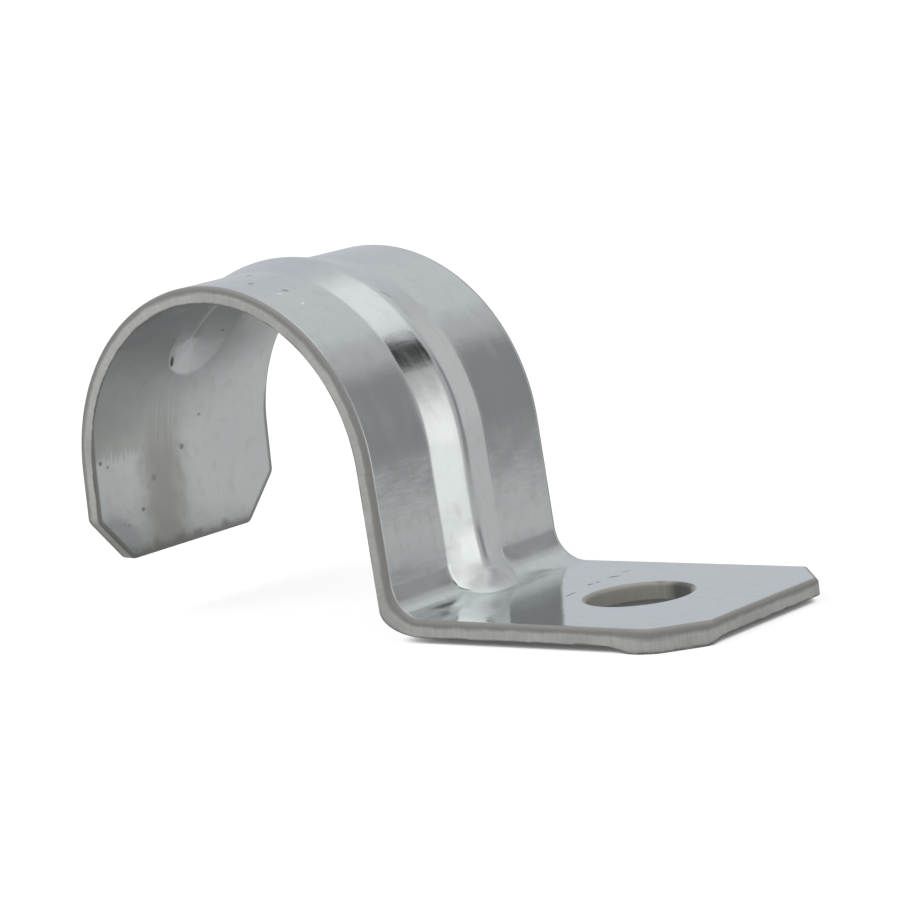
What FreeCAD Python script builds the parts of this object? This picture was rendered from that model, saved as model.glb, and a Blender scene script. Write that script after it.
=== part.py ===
import FreeCAD, Part
import math
import os

# One-hole conduit strap, cut and folded from one strip of zinc-plated sheet steel.
# Millimetres. The origin is the centre of the screw hole, on the foot's underside.
# +Z is up, away from the wall that the foot is screwed to. The saddle lies towards -X,
# with its axis along Y. The strip's width runs along Y and is centred on y = 0.

# Strip
STRIP_WIDTH = 19.05
SHEET = 1.2

# Saddle, the arch that goes over the conduit
SADDLE_RADIUS = 12.35
SADDLE_HEIGHT = 10.75
SADDLE_TO_HOLE = 27.7

# Leg that comes down from the saddle to the foot, leaning outwards
LEG_LEAN = 2.8

# Free leg at the saddle's other side, which ends above the wall
FREE_LEAN = 1.5
FREE_LENGTH = 7.0
FREE_CORNER_ALONG = 3.3
FREE_CORNER_ACROSS = 3.1

# Heel, where the leg turns into the foot: round on top, set tighter underneath
HEEL_TOP_RADIUS = 2.5
HEEL_UNDER_RISE = 1.7

# Foot
HOLE_DIAMETER = 7.2
HOLE_TO_END = 10.35
FOOT_CORNER_ALONG = 3.0
FOOT_CORNER_ACROSS = 3.3

# Stiffening rib, pressed outwards along the middle of the strip. It is lowest over the crown,
# rises down the saddle's side, and is highest in the heel, where it ends in a blunt nose.
RIB_WIDTH = 6.3
RIB_HEIGHT_CROWN = 0.55
RIB_HEIGHT_LEG = 0.74
RIB_HEIGHT_HEEL = 1.08
RIB_CREST_RADIUS = 2.2
RIB_FOOT_RADIUS = 0.6
RIB_START = 152.0
RIB_START_LENGTH = 3.0
RIB_RISES_FROM = 60.0
RIB_HEEL_RISE_LENGTH = 3.0
RIB_NOSE_START = 41.0

# Lip that the corner shear dragged down under one corner of the foot
LIP_DEPTH = 0.45
LIP_RADIUS = 4.4
LIP_FROM_END = 2.6
LIP_FROM_EDGE = 1.6

# Stations and samples that shape the smooth parts
START_STATIONS = 7
RISE_STATIONS = 6
HEEL_STATIONS = 5
NOSE_STATIONS = 6
RIB_SAMPLES = 6

HALF_WIDTH = STRIP_WIDTH / 2
HALF_RIB = RIB_WIDTH / 2
ACROSS = FreeCAD.Vector(0, 1, 0)
SADDLE_AXIS = FreeCAD.Vector(-SADDLE_TO_HOLE, 0, SADDLE_HEIGHT)
FREE_ANGLE = 180 - FREE_LEAN
LEG_UP = FreeCAD.Vector(-math.sin(math.radians(LEG_LEAN)), 0, math.cos(math.radians(LEG_LEAN)))


def radial(angle):
    """Unit vector away from the saddle's axis, at an angle in degrees up from +X."""
    return FreeCAD.Vector(math.cos(math.radians(angle)), 0, math.sin(math.radians(angle)))


def flank_slope(height):
    """Slope of the rib's flanks, from its width, its height and its two radii."""
    radii = RIB_CREST_RADIUS + RIB_FOOT_RADIUS
    reach = math.hypot(HALF_RIB, radii - height)
    return math.asin(radii / reach) - math.atan2(radii - height, HALF_RIB)


def crest_end(height):
    """Distance from the rib's middle at which its rounded crest turns into a flank."""
    return RIB_CREST_RADIUS * math.sin(flank_slope(height))


def foot_start(height):
    """Distance from the rib's middle at which a flank turns into its rounded foot."""
    return HALF_RIB - RIB_FOOT_RADIUS * math.sin(flank_slope(height))


def rib_rise(distance, height):
    """Rise of the rib at a distance from its middle: two arcs joined by a flank."""
    if distance >= HALF_RIB:
        return 0.0
    if distance <= crest_end(height):
        return height - RIB_CREST_RADIUS + math.sqrt(RIB_CREST_RADIUS**2 - distance**2)
    if distance >= foot_start(height):
        return RIB_FOOT_RADIUS - math.sqrt(RIB_FOOT_RADIUS**2 - (HALF_RIB - distance) ** 2)
    slope = flank_slope(height)
    crest_drop = RIB_CREST_RADIUS * (1 - math.cos(slope))
    return height - crest_drop - (distance - crest_end(height)) * math.tan(slope)


def rib_edge(base, normal, start, end, height, fade):
    """One edge of the rib's outline: an arc or a flank, or a free curve where the rib fades."""
    points = []
    for step in range(RIB_SAMPLES + 1):
        across = start + (end - start) * step / RIB_SAMPLES
        rise = rib_rise(math.hypot(across, HALF_RIB * fade), height)
        points.append(base + ACROSS * across + normal * rise)
    if fade > 0:
        curve = Part.BSplineCurve()
        curve.interpolate(points)
        return curve.toShape()
    if abs(start + end) > HALF_RIB and max(abs(start), abs(end)) < HALF_RIB:
        return Part.makeLine(points[0], points[-1])
    return Part.Arc(points[0], points[RIB_SAMPLES // 2], points[-1]).toShape()


def section(inner, outer, height, fade=0.0):
    """Closed outline across the strip between an inner and an outer point of its side view.

    fade runs from 0, the rib at full height, to 1, the tip of its rounded end.
    """
    normal = (outer - inner).normalize()
    crest, foot = crest_end(height), foot_start(height)
    breaks = [-HALF_RIB, -foot, -crest, crest, foot, HALF_RIB]
    edges = []
    for base, side in ((inner, 1), (outer, -1)):
        edges.append(Part.makeLine(base - ACROSS * HALF_WIDTH * side, base - ACROSS * HALF_RIB * side))
        for start, end in zip(breaks[:-1], breaks[1:]):
            edges.append(rib_edge(base, normal, start * side, end * side, height, fade))
        edge_end = base + ACROSS * HALF_WIDTH * side
        edges.append(Part.makeLine(base + ACROSS * HALF_RIB * side, edge_end))
        edges.append(Part.makeLine(edge_end, edge_end + (outer - inner) * side))
    return Part.Wire(edges)


def plain_section(inner, outer):
    """Closed outline across the strip where it has no rib."""
    corners = [inner - ACROSS * HALF_WIDTH, inner + ACROSS * HALF_WIDTH]
    corners += [outer + ACROSS * HALF_WIDTH, outer - ACROSS * HALF_WIDTH]
    return Part.makePolygon(corners + corners[:1])


def saddle_section(angle, height, fade=0.0):
    """Section of the strip at an angle round the saddle."""
    inner = SADDLE_AXIS + radial(angle) * SADDLE_RADIUS
    return section(inner, inner + radial(angle) * SHEET, height, fade)


def turned(wire, angle):
    """Solid swept by a section as it turns down round the saddle's axis."""
    return Part.Face(wire).revolve(SADDLE_AXIS, ACROSS, angle)


def heel_centre():
    """Centre of the heel's top radius, which touches the leg's outer side and the foot's top."""
    beside = SADDLE_AXIS + radial(LEG_LEAN) * (SADDLE_RADIUS + SHEET + HEEL_TOP_RADIUS)
    return beside - LEG_UP * ((beside.z - SHEET - HEEL_TOP_RADIUS) / LEG_UP.z)


def heel_underside(ray):
    """Point where a ray from the heel's centre leaves the sheet.

    The underside is a quarter ellipse in the corner between the leg and the foot. Its axes
    lie along the leg and the foot, and it ends on the foot straight below the centre.
    """
    centre = heel_centre()
    inner = SADDLE_AXIS + radial(LEG_LEAN) * SADDLE_RADIUS
    corner = inner - LEG_UP * (inner.z / LEG_UP.z)
    reach = centre.x - corner.x
    up_rate = ray.z / LEG_UP.z
    along_rate = ray.x - up_rate * LEG_UP.x
    up_start = 1 - centre.z / LEG_UP.z / HEEL_UNDER_RISE
    up_step = -up_rate / HEEL_UNDER_RISE
    along_start = 1 - (reach - centre.z / LEG_UP.z * LEG_UP.x) / reach
    along_step = -along_rate / reach
    square = up_step**2 + along_step**2
    half = up_start * up_step + along_start * along_step
    rest = up_start**2 + along_start**2 - 1
    distance = (-half + math.sqrt(max(0, half**2 - square * rest))) / square
    if up_start + distance * up_step < 0:
        distance = (1 - along_start) / along_step
    return centre + ray * distance


def heel_section(turn, fade=0.0):
    """Section of the strip at a turn in degrees round the heel, from the leg at 0."""
    ray = radial(180 + LEG_LEAN + turn)
    outer = heel_centre() + ray * HEEL_TOP_RADIUS
    return section(heel_underside(ray), outer, RIB_HEIGHT_HEEL, fade)


def chamfered_outline(start, along, length, corner_along, corner_across):
    """Flat end of the strip: a rectangle from start, with its two far corners cut off."""
    outline = [
        start - ACROSS * HALF_WIDTH,
        start - ACROSS * HALF_WIDTH + along * (length - corner_along),
        start - ACROSS * (HALF_WIDTH - corner_across) + along * length,
        start + ACROSS * (HALF_WIDTH - corner_across) + along * length,
        start + ACROSS * HALF_WIDTH + along * (length - corner_along),
        start + ACROSS * HALF_WIDTH,
    ]
    return Part.Face(Part.makePolygon(outline + outline[:1]))


def free_leg():
    """Straight end of the strip on the saddle's free side, hanging just off the wall."""
    out = radial(FREE_ANGLE)
    down = FreeCAD.Vector(out.z, 0, -out.x) * -1
    start = SADDLE_AXIS + out * SADDLE_RADIUS
    outline = chamfered_outline(start, down, FREE_LENGTH, FREE_CORNER_ALONG, FREE_CORNER_ACROSS)
    return outline.extrude(out * SHEET)


def saddle():
    """Arch over the conduit: plain at its free side, then with the rib rising out of it."""
    start_turn = math.degrees(RIB_START_LENGTH / SADDLE_RADIUS)
    starting = []
    for step in range(START_STATIONS + 1):
        share = step / START_STATIONS
        starting.append(saddle_section(RIB_START - start_turn * share, RIB_HEIGHT_CROWN, 1 - share))
    growing = []
    for step in range(RISE_STATIONS + 1):
        share = step / RISE_STATIONS
        smooth_share = share**2 * (3 - 2 * share)
        height = RIB_HEIGHT_CROWN + (RIB_HEIGHT_LEG - RIB_HEIGHT_CROWN) * smooth_share
        growing.append(saddle_section(RIB_RISES_FROM + (LEG_LEAN - RIB_RISES_FROM) * share, height))
    inner = SADDLE_AXIS + radial(FREE_ANGLE) * SADDLE_RADIUS
    plain_start = plain_section(inner, inner + radial(FREE_ANGLE) * SHEET)
    plain = turned(plain_start, FREE_ANGLE - RIB_START)
    crown_start = RIB_START - start_turn
    crown = turned(saddle_section(crown_start, RIB_HEIGHT_CROWN), crown_start - RIB_RISES_FROM)
    return [plain, Part.makeLoft(starting, True, False), crown, Part.makeLoft(growing, True, False)]


def leg():
    """Straight ribbed part between the saddle and the heel, where the rib rises at its end."""
    top = saddle_section(LEG_LEAN, RIB_HEIGHT_LEG)
    length = (SADDLE_AXIS - heel_centre()).dot(LEG_UP)
    straight = length - RIB_HEEL_RISE_LENGTH
    rise_start = top.copy()
    rise_start.translate(LEG_UP * -straight)
    return [Part.Face(top).extrude(LEG_UP * -straight), Part.makeLoft([rise_start, heel_section(0)], True, True)]


def heel():
    """Turn into the foot. The rib runs down into it and ends in a blunt nose."""
    full_turn = 90 - LEG_LEAN
    ribbed = []
    for step in range(HEEL_STATIONS + 1):
        ribbed.append(heel_section(RIB_NOSE_START * step / HEEL_STATIONS))
    nose = []
    for step in range(NOSE_STATIONS + 1):
        share = step / NOSE_STATIONS
        nose.append(heel_section(RIB_NOSE_START + (full_turn - RIB_NOSE_START) * share, share))
    return [Part.makeLoft(ribbed, True, False), Part.makeLoft(nose, True, False)]


def foot_outline(start_x, height):
    """Face of the foot's flat outline from start_x to its cut corners, at a height."""
    start = FreeCAD.Vector(start_x, 0, height)
    along = FreeCAD.Vector(1, 0, 0)
    length = HOLE_TO_END - start_x
    return chamfered_outline(start, along, length, FOOT_CORNER_ALONG, FOOT_CORNER_ACROSS)


def foot():
    """Flat end of the strip, from the heel to its cut corners."""
    return foot_outline(heel_centre().x, 0).extrude(FreeCAD.Vector(0, 0, SHEET))


def lip():
    """Shallow cap of metal dragged down under the front corner of the foot."""
    ball_radius = (LIP_RADIUS**2 + LIP_DEPTH**2) / (2 * LIP_DEPTH)
    centre_x = HOLE_TO_END - LIP_FROM_END
    centre_y = -HALF_WIDTH + LIP_FROM_EDGE
    ball = Part.makeSphere(ball_radius, FreeCAD.Vector(centre_x, centre_y, ball_radius - LIP_DEPTH))
    return ball.common(foot_outline(0, -LIP_DEPTH).extrude(FreeCAD.Vector(0, 0, 2 * LIP_DEPTH)))


def strap():
    """The whole strap as one solid."""
    spans = [free_leg()] + saddle() + leg() + heel() + [foot(), lip()]
    body = spans[0].multiFuse(spans[1:])
    hole_start = FreeCAD.Vector(0, 0, -SHEET)
    body = body.cut(Part.makeCylinder(HOLE_DIAMETER / 2, 3 * SHEET, hole_start))
    return body.removeSplitter()


os.makedirs("parts", exist_ok=True)
shape = strap()
shape.exportStep("parts/strap.step")
print("solids", len(shape.Solids), "valid", shape.isValid(), "volume", round(shape.Volume, 2))
box = shape.BoundBox
print("x", round(box.XMin, 3), round(box.XMax, 3), "y", round(box.YMin, 3), round(box.YMax, 3))
print("z", round(box.ZMin, 3), round(box.ZMax, 3), "faces", len(shape.Faces))
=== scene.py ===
import math

import bmesh
import bpy
from mathutils import Matrix, Vector
from mathutils.geometry import delaunay_2d_cdt


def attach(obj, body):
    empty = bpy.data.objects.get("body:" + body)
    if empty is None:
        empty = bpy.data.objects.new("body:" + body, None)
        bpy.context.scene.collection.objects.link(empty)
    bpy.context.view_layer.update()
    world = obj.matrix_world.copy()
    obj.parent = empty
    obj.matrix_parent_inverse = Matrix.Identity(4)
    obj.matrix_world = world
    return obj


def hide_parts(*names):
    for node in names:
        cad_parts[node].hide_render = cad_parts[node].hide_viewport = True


# One-hole conduit strap, folded from one strip of zinc-plated sheet steel.
# The strip is made flat, with its sheared edges and its screw hole, and a Geometry Nodes
# tree then folds it along the strap's side view and presses the rib and the lip into it.
# Lengths are in millimetres until MM turns them into metres.

MM = 0.001

# Strip
STRIP_WIDTH = 19.05
SHEET = 1.2

# Saddle, leg and free leg
SADDLE_RADIUS = 12.35
SADDLE_HEIGHT = 10.75
SADDLE_TO_HOLE = 27.7
LEG_LEAN = 2.8
FREE_LEAN = 1.5
FREE_LENGTH = 7.0
FREE_CORNER_ALONG = 3.3
FREE_CORNER_ACROSS = 3.1

# Heel and foot
HEEL_TOP_RADIUS = 2.5
HEEL_UNDER_RISE = 1.7
HOLE_DIAMETER = 7.2
HOLE_TO_END = 10.35
FOOT_CORNER_ALONG = 3.0
FOOT_CORNER_ACROSS = 3.3

# Stiffening rib: low over the crown, higher down the leg and highest in the heel. Where it starts
# and rises on the saddle, and where its nose starts in the heel, are angles in degrees.
RIB_WIDTH = 6.3
RIB_HEIGHT_CROWN = 0.55
RIB_HEIGHT_LEG = 0.74
RIB_HEIGHT_HEEL = 1.08
RIB_CREST_RADIUS = 2.2
RIB_FOOT_RADIUS = 0.6
RIB_START = 152.0
RIB_START_LENGTH = 3.0
RIB_NOSE_START = 41.0
RIB_NOSE_ROUNDING = 1.2
NOSE_BLEND = 2.4
RIB_RISES_FROM = 60.0
RIB_RISES_BELOW_SADDLE = 1.5
RIB_HEEL_RISE_BEFORE = 2.2
RIB_HEEL_RISE_AFTER = 1.3

# Lip dragged down under one corner of the foot
LIP_DEPTH = 0.45
LIP_RADIUS = 4.1
LIP_FLAT_SHARE = 0.55
LIP_FROM_END = 2.6
LIP_FROM_EDGE = 1.6

# Sheared edges: rolled over on the outer side, crisp on the inner one
ROLL_REACH = 0.3
ROLL_DROP = 0.3
ROLL_STEPS = 5
BREAK_SIZE = 0.05
FREE_CORNER_ROUNDING = 0.7
FOOT_CORNER_ROUNDING = 0.4
LIP_CORNER_ROUNDING = 2.2
CORNER_STEPS = 5
HOLE_STEPS = 120
WALL_ROWS = (0.5, 0.75)
MERGE_REACH = BREAK_SIZE / 10
SHARP_ANGLE = 40

# Places of every point on the flat strip, kept for the plating
PLACES = ("along", "across", "depth", "inset")

# Spacing of the flat strip's points
PATH_STEP = 0.1
FLAT_SPACING = 0.45
BEND_SPACING = 0.4
HEEL_SPACING = 0.12
START_SPACING = 0.15
LIP_SPACING = 0.3
RIB_SPACING = 0.12

# The faces' points: clear of the rims, and closer for a margin past each form. The outline's two
# long edges take the same places along the strip.
RIM_CLEAR = FLAT_SPACING / 3
FORM_MARGIN = 1
FACE_PRECISION = 1e-5
LONG_EDGES = (1, 5)
LONG_EDGE_PAST_HOLE = 6

# Plating: colours as the metal reflects them, some holding painted shade, roughness, and heights of its
# texture in millimetres
ZINC_DARK = (0.680, 0.712, 0.712, 1)
ZINC_LIGHT = (0.730, 0.765, 0.762, 1)
ZINC_WORN = (0.640, 0.655, 0.640, 1)
ZINC_STAINED = (0.480, 0.472, 0.425, 1)
ZINC_GRIME_AND_SHADE = (0.300, 0.295, 0.275, 1)
MARK_AND_SHADE_GREY = (0.100, 0.105, 0.110, 1)
GLINT_WHITE = (0.960, 0.965, 0.965, 1)
EDGE_MATT = (0.395, 0.388, 0.375, 1)
EDGE_BRIGHT = (0.810, 0.810, 0.795, 1)
EDGE_STRIAE_AND_SHADOW = (0.260, 0.260, 0.235, 1)
HOLE_OLIVE_AND_SHADE = (0.470, 0.462, 0.410, 1)
EDGE_METALLIC = 0.45
ROUGHNESS = 0.13
ROUGH_ON_FOOT = 0.06
ROUGH_STRETCHED = 0.42
ROUGH_STREAKS = 0.06
ROUGH_WORN = 0.06
ROUGH_DULL = 0.38
ROUGH_EDGE = 0.5
WAVE_HEIGHT = 0.045
WAVE_ON_FOOT = 0.012
RIPPLE_HEIGHT = 0.005
STREAK_HEIGHT = 0.0006
GRIT_HEIGHT = 0.0004
MARK_DEPTH = 0.02
STRIAE_HEIGHT = 0.01

# Noises of the plating: layer, length along the strip, width across it, detail
CLOUDS = (0.0, 5.0, 4.0, 3.0)
BLOTCHES = (3.0, 1.3, 0.9, 4.0)
STREAKS = (7.0, 9.0, 0.22, 2.0)
WAVES = (11.0, 3.4, 2.6, 1.0)
RIPPLES = (13.0, 0.45, 1.3, 2.0)
GRIT = (17.0, 0.12, 0.09, 2.0)
SIDES_APART = 50.0
STRIAE_SLOWNESS = 0.5
STRIAE_SIZE = 0.16
STRIAE_DETAIL = 3.0

# Where the wear, the stains and the painted shade lie, in millimetres on the flat strip
WORN_BLOTCHES = (0.5, 0.72)
WORN_SHARE = 0.5
STAIN_MIDDLE = -2.4
STAIN_ACROSS = (0.6, 3.4)
STAIN_ALONG = (6.5, 13.0)
STAIN_RAGGED = 6.0
STAIN_WANDER = 3.0
STAIN_DARKNESS = 0.75
STREAKED_ACROSS = (-4.4, -3.2)
STREAKED_FROM = (7.5, 8.1)
STREAKED_TO = (9.5, 14.0)
STREAKED_RAGGED = 3.0
STREAKED_DARKNESS = 0.35
# Painted shade on the inner side: a darker band along the free end, partly grime, and a thin dark line
# along every edge, wider on the free leg
RIM_SHADE = (0.1, 1.1)
RIM_WANDER = 1.5
RIM_DARKNESS = 0.75
LINE_SOLID = 0.5
LINE_REACH = 0.14
LINE_REACH_FREE = 0.45
LINE_NARROWS = (8.0, 11.0)
EDGE_ROLLED = (0.24, 0.50)
EDGE_BURR_SHADOW = (0.86, 0.98)
EDGE_WOBBLE = 0.25
EDGE_STRIAE = 0.45
EDGE_MOTTLED = (0.4, 0.65)
EDGE_MOTTLE = 0.35
HOLE_WALL_FADE = 0.1
FOOT_BLEND = 1
CUT_REACH = (0.7, 1.25)
MARK_SOLID = 0.55
MARK_FADED = 1.15

# Marks, some of them painted shade: along, across, half length, half width, turn in degrees from across,
# darkness
OUTER_MARKS = [
    (66.32, -0.75, 0.75, 0.13, -3, 0.6),
    (65.80, 2.20, 0.28, 0.17, 15, 0.85),
    (65.96, 2.85, 0.26, 0.15, 15, 0.7),
    (66.03, 4.60, 0.52, 0.19, 41, 0.8),
    (65.88, 6.30, 0.52, 0.14, 18, 0.5),
    (28.50, -4.72, 0.26, 0.22, 0, 0.45),
    (30.65, -6.96, 0.28, 0.24, 20, 0.55),
    (33.00, -6.04, 0.30, 0.22, 40, 0.5),
    (36.75, 0.40, 0.50, 0.16, 60, 0.3),
]
OUTER_GLINTS = [
    (33.25, -6.90, 0.30, 0.16, 20, 0.9),
    (35.00, -6.44, 0.26, 0.15, -30, 0.8),
]
STRETCHED = [
    (58.7, 0.9, 3.6, 2.3, 0, 1.0),
    (56.9, -6.3, 3.6, 1.0, 0, 0.35),
    (56.9, 6.3, 3.6, 1.0, 0, 0.35),
]
# Painted shade on the back of the hole's wall
HOLE_WALL_SHADE = [
    (72.9, 3.3, 0.75, 1.8, 0, 0.92),
    (70.6, 3.8, 0.30, 0.5, 0, 0.4),
    (68.3, 2.6, 0.50, 0.25, 0, 0.3),
]
INNER_SPECKS_AND_SHADE = [
    (14.85, -2.24, 0.24, 0.62, 20, 0.95),
    (7.10, -0.12, 0.26, 0.22, 0, 0.5),
    (7.55, -8.76, 0.16, 0.18, 0, 0.6),
    (7.10, -8.05, 0.13, 0.13, 0, 0.4),
    (3.35, -4.87, 0.20, 0.16, 0, 0.5),
    (2.60, -6.90, 0.14, 0.14, 0, 0.4),
    (2.45, -6.50, 0.13, 0.15, 0, 0.4),
    (16.90, 2.38, 0.16, 0.18, 0, 0.4),
    (9.30, 1.90, 0.22, 0.18, 0, 0.35),
    (5.40, -3.40, 0.30, 0.26, 0, 0.3),
    # Painted shade on the inner side, along the chamfered corner at the free end
    (1.60, -7.00, 2.60, 1.30, -40, 0.22),
]

# Studio: lengths here are in metres, and directions in degrees from the middle of the strap
WHITE = (1, 1, 1, 1)
TENT_RADIUS = 0.8
TENT_SUBDIVISIONS = 4
TENT_CENTRE = (-0.012, 0, 0.01)
TENT_CLOTH = (0.50, 0.50, 0.50, 1)
MAT_RADIUS = 0.79
MAT_HEIGHT = -0.0004
DISC_SEGMENTS = 96
MAT_LEVEL = 0.55
# Painted shadow of the strap on the mat, darkest over its footprint
MAT_SHADOW = 0.28
MAT_SHADOW_REACH = (-0.006, 0.024)
MAT_FAR = 0.29
MAT_FAR_REACH = (0.05, 0.095)
MAT_FAR_AZIMUTH = 51
MAT_FAR_WIDTH = (9, 15)
# Painted shade spot on the mat behind the strap's free end
MAT_SHADE_SPOT = 0.2
MAT_SHADE_SPOT_PLACE = (-0.043, 0.018)
MAT_SHADE_SPOT_REACH = (0.004, 0.018)
FOOTPRINT_MIDDLE = (-0.0155, 0)
FOOTPRINT_HALF = (0.026, 0.0095)
MAT_GLEAM = 1.05
MAT_GLEAM_AZIMUTH = 16
MAT_GLEAM_WIDTH = (8, 13)
MAT_GLEAM_AWAY = (0.03, 0.06)
FLOOR_RADIUS = 3.0
FLOOR_PAPER = (0.4, 0.4, 0.4, 1)
FLOOR_ROUGHNESS = 0.9
FLOOR_GLOW = 0.78
FLOOR_SHADED = (0.06, 0.3)
FLOOR_CONTACT = 0.006
FLOOR_SAMPLES = 8
WORLD_LIGHT = 0.6
LAMP_POWER = 4.0
LAMP_SIZE = 0.6
LAMP_PLACE = (-0.5, -0.7, 1.0)

# Camera: angles in degrees, place and distance in metres, lens and sensor in millimetres
CAMERA_AZIMUTH = 39.473
CAMERA_ELEVATION = 8.929
CAMERA_ROLL = -6.911
CAMERA_AIM = (-0.014829, 0, 0.010987)
CAMERA_DISTANCE = 0.2621
CAMERA_LENS = 151.33
CAMERA_SENSOR = 36
CAMERA_CLIP = 0.01

# Cards and soft boxes on the tent: azimuth, elevation, half width, half height, lean,
# softness of the edge, colour
TENT_CARDS = [
    (0, 90, 200, 41, 0, 10, (0.96, 0.97, 0.98, 1)),
    (128, 20, 22, 30, 0, 10, (0.59, 0.61, 0.65, 1)),
    (100, 40, 25, 10, 0, 8, (0.65, 0.66, 0.67, 1)),
    (80, 12, 20, 18, 0, 7, (0.60, 0.60, 0.60, 1)),
    (53.5, 13, 8, 18, 0.25, 5, (0.26, 0.26, 0.27, 1)),
    (36, 43, 8, 7.5, 0, 2.5, (0.0, 0.0, 0.0, 1)),
    (14, 22, 10, 36, -0.1, 3, (1.18, 1.18, 1.16, 1)),
]

HALF_WIDTH = STRIP_WIDTH / 2
HALF_RIB = RIB_WIDTH / 2
OUTER_RADIUS = SADDLE_RADIUS + SHEET
FREE_ANGLE = 180 - FREE_LEAN


def radial(angle):
    """Unit vector in the side view, at an angle in degrees up from +X."""
    return Vector((math.cos(math.radians(angle)), math.sin(math.radians(angle))))


SADDLE_AXIS = Vector((-SADDLE_TO_HOLE, SADDLE_HEIGHT))
LEG_UP = Vector((-math.sin(math.radians(LEG_LEAN)), math.cos(math.radians(LEG_LEAN))))


def placed(name, data):
    """New object in the scene."""
    made = bpy.data.objects.new(name, data)
    bpy.context.scene.collection.objects.link(made)
    return made


def finished_mesh(name, build):
    """Mesh of what has been built."""
    mesh = bpy.data.meshes.new(name)
    build.to_mesh(mesh)
    build.free()
    return mesh


def heel_centre():
    """Centre of the heel's top radius in the side view."""
    beside = SADDLE_AXIS + radial(LEG_LEAN) * (OUTER_RADIUS + HEEL_TOP_RADIUS)
    return beside - LEG_UP * ((beside.y - SHEET - HEEL_TOP_RADIUS) / LEG_UP.y)


HEEL_CENTRE = heel_centre()
SADDLE_TURN = FREE_ANGLE - LEG_LEAN
HEEL_TURN = 90 - LEG_LEAN

# Distances along the strip's outer side, from the free end
SADDLE_FROM = FREE_LENGTH
LEG_FROM = SADDLE_FROM + OUTER_RADIUS * math.radians(SADDLE_TURN)
HEEL_FROM = LEG_FROM + (SADDLE_AXIS - HEEL_CENTRE).dot(LEG_UP)
FOOT_FROM = HEEL_FROM + HEEL_TOP_RADIUS * math.radians(HEEL_TURN)
STRIP_LENGTH = FOOT_FROM + HOLE_TO_END - HEEL_CENTRE.x
HOLE_AT = STRIP_LENGTH - HOLE_TO_END
HOLE_CENTRE = Vector((HOLE_AT, 0))


def saddle_distance(angle):
    """Distance along the strip to an angle round the saddle."""
    return SADDLE_FROM + OUTER_RADIUS * math.radians(FREE_ANGLE - angle)


RIB_FROM = saddle_distance(RIB_START)
RIB_FULL_FROM = RIB_FROM + RIB_START_LENGTH * OUTER_RADIUS / SADDLE_RADIUS
NOSE_FROM = HEEL_FROM + HEEL_TOP_RADIUS * math.radians(RIB_NOSE_START)


def heel_sheet(ray):
    """Thickness of the heel along a ray from its centre: its underside is a quarter ellipse."""
    inner = SADDLE_AXIS + radial(LEG_LEAN) * SADDLE_RADIUS
    corner = inner - LEG_UP * (inner.y / LEG_UP.y)
    reach = HEEL_CENTRE.x - corner.x
    up_rate = ray.y / LEG_UP.y
    along_rate = ray.x - up_rate * LEG_UP.x
    up_start = 1 - HEEL_CENTRE.y / LEG_UP.y / HEEL_UNDER_RISE
    up_step = -up_rate / HEEL_UNDER_RISE
    along_start = HEEL_CENTRE.y / LEG_UP.y * LEG_UP.x / reach
    along_step = -along_rate / reach
    square = up_step**2 + along_step**2
    half = up_start * up_step + along_start * along_step
    rest = up_start**2 + along_start**2 - 1
    distance = (-half + math.sqrt(max(0, half**2 - square * rest))) / square
    if up_start + distance * up_step < 0:
        distance = (1 - along_start) / along_step
    return distance - HEEL_TOP_RADIUS


def outer_side(along):
    """Point of the outer side at a distance along the strip, and the sheet's thickness there."""
    if along < SADDLE_FROM:
        out = radial(FREE_ANGLE)
        down = Vector((-out.y, out.x))
        return SADDLE_AXIS + out * OUTER_RADIUS + down * (SADDLE_FROM - along), SHEET
    if along < LEG_FROM:
        angle = FREE_ANGLE - math.degrees((along - SADDLE_FROM) / OUTER_RADIUS)
        return SADDLE_AXIS + radial(angle) * OUTER_RADIUS, SHEET
    if along < HEEL_FROM:
        start = SADDLE_AXIS + radial(LEG_LEAN) * OUTER_RADIUS
        return start - LEG_UP * (along - LEG_FROM), SHEET
    if along < FOOT_FROM:
        turn = math.degrees((along - HEEL_FROM) / HEEL_TOP_RADIUS)
        ray = radial(180 + LEG_LEAN + turn)
        return HEEL_CENTRE + ray * HEEL_TOP_RADIUS, heel_sheet(ray)
    return Vector((HEEL_CENTRE.x + along - FOOT_FROM, SHEET)), SHEET


def side_path():
    """The outer side as a line of points, each with the sheet's thickness, for the folding."""
    steps = math.ceil(STRIP_LENGTH / PATH_STEP)
    points = []
    sheets = []
    for step in range(steps + 1):
        place, sheet = outer_side(STRIP_LENGTH * step / steps)
        points.append((place.x * MM, 0, place.y * MM))
        sheets.append(sheet * MM)
    mesh = bpy.data.meshes.new("side_path")
    mesh.from_pydata(points, [(i, i + 1) for i in range(steps)], [])
    mesh.attributes.new("sheet", "FLOAT", "POINT").data.foreach_set("value", sheets)
    return placed("side_path", mesh)


def spaced(start, end, spacing):
    """Even steps from start up to, but not including, end."""
    count = max(1, round((end - start) / spacing))
    return [start + (end - start) * i / count for i in range(count)]


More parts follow.
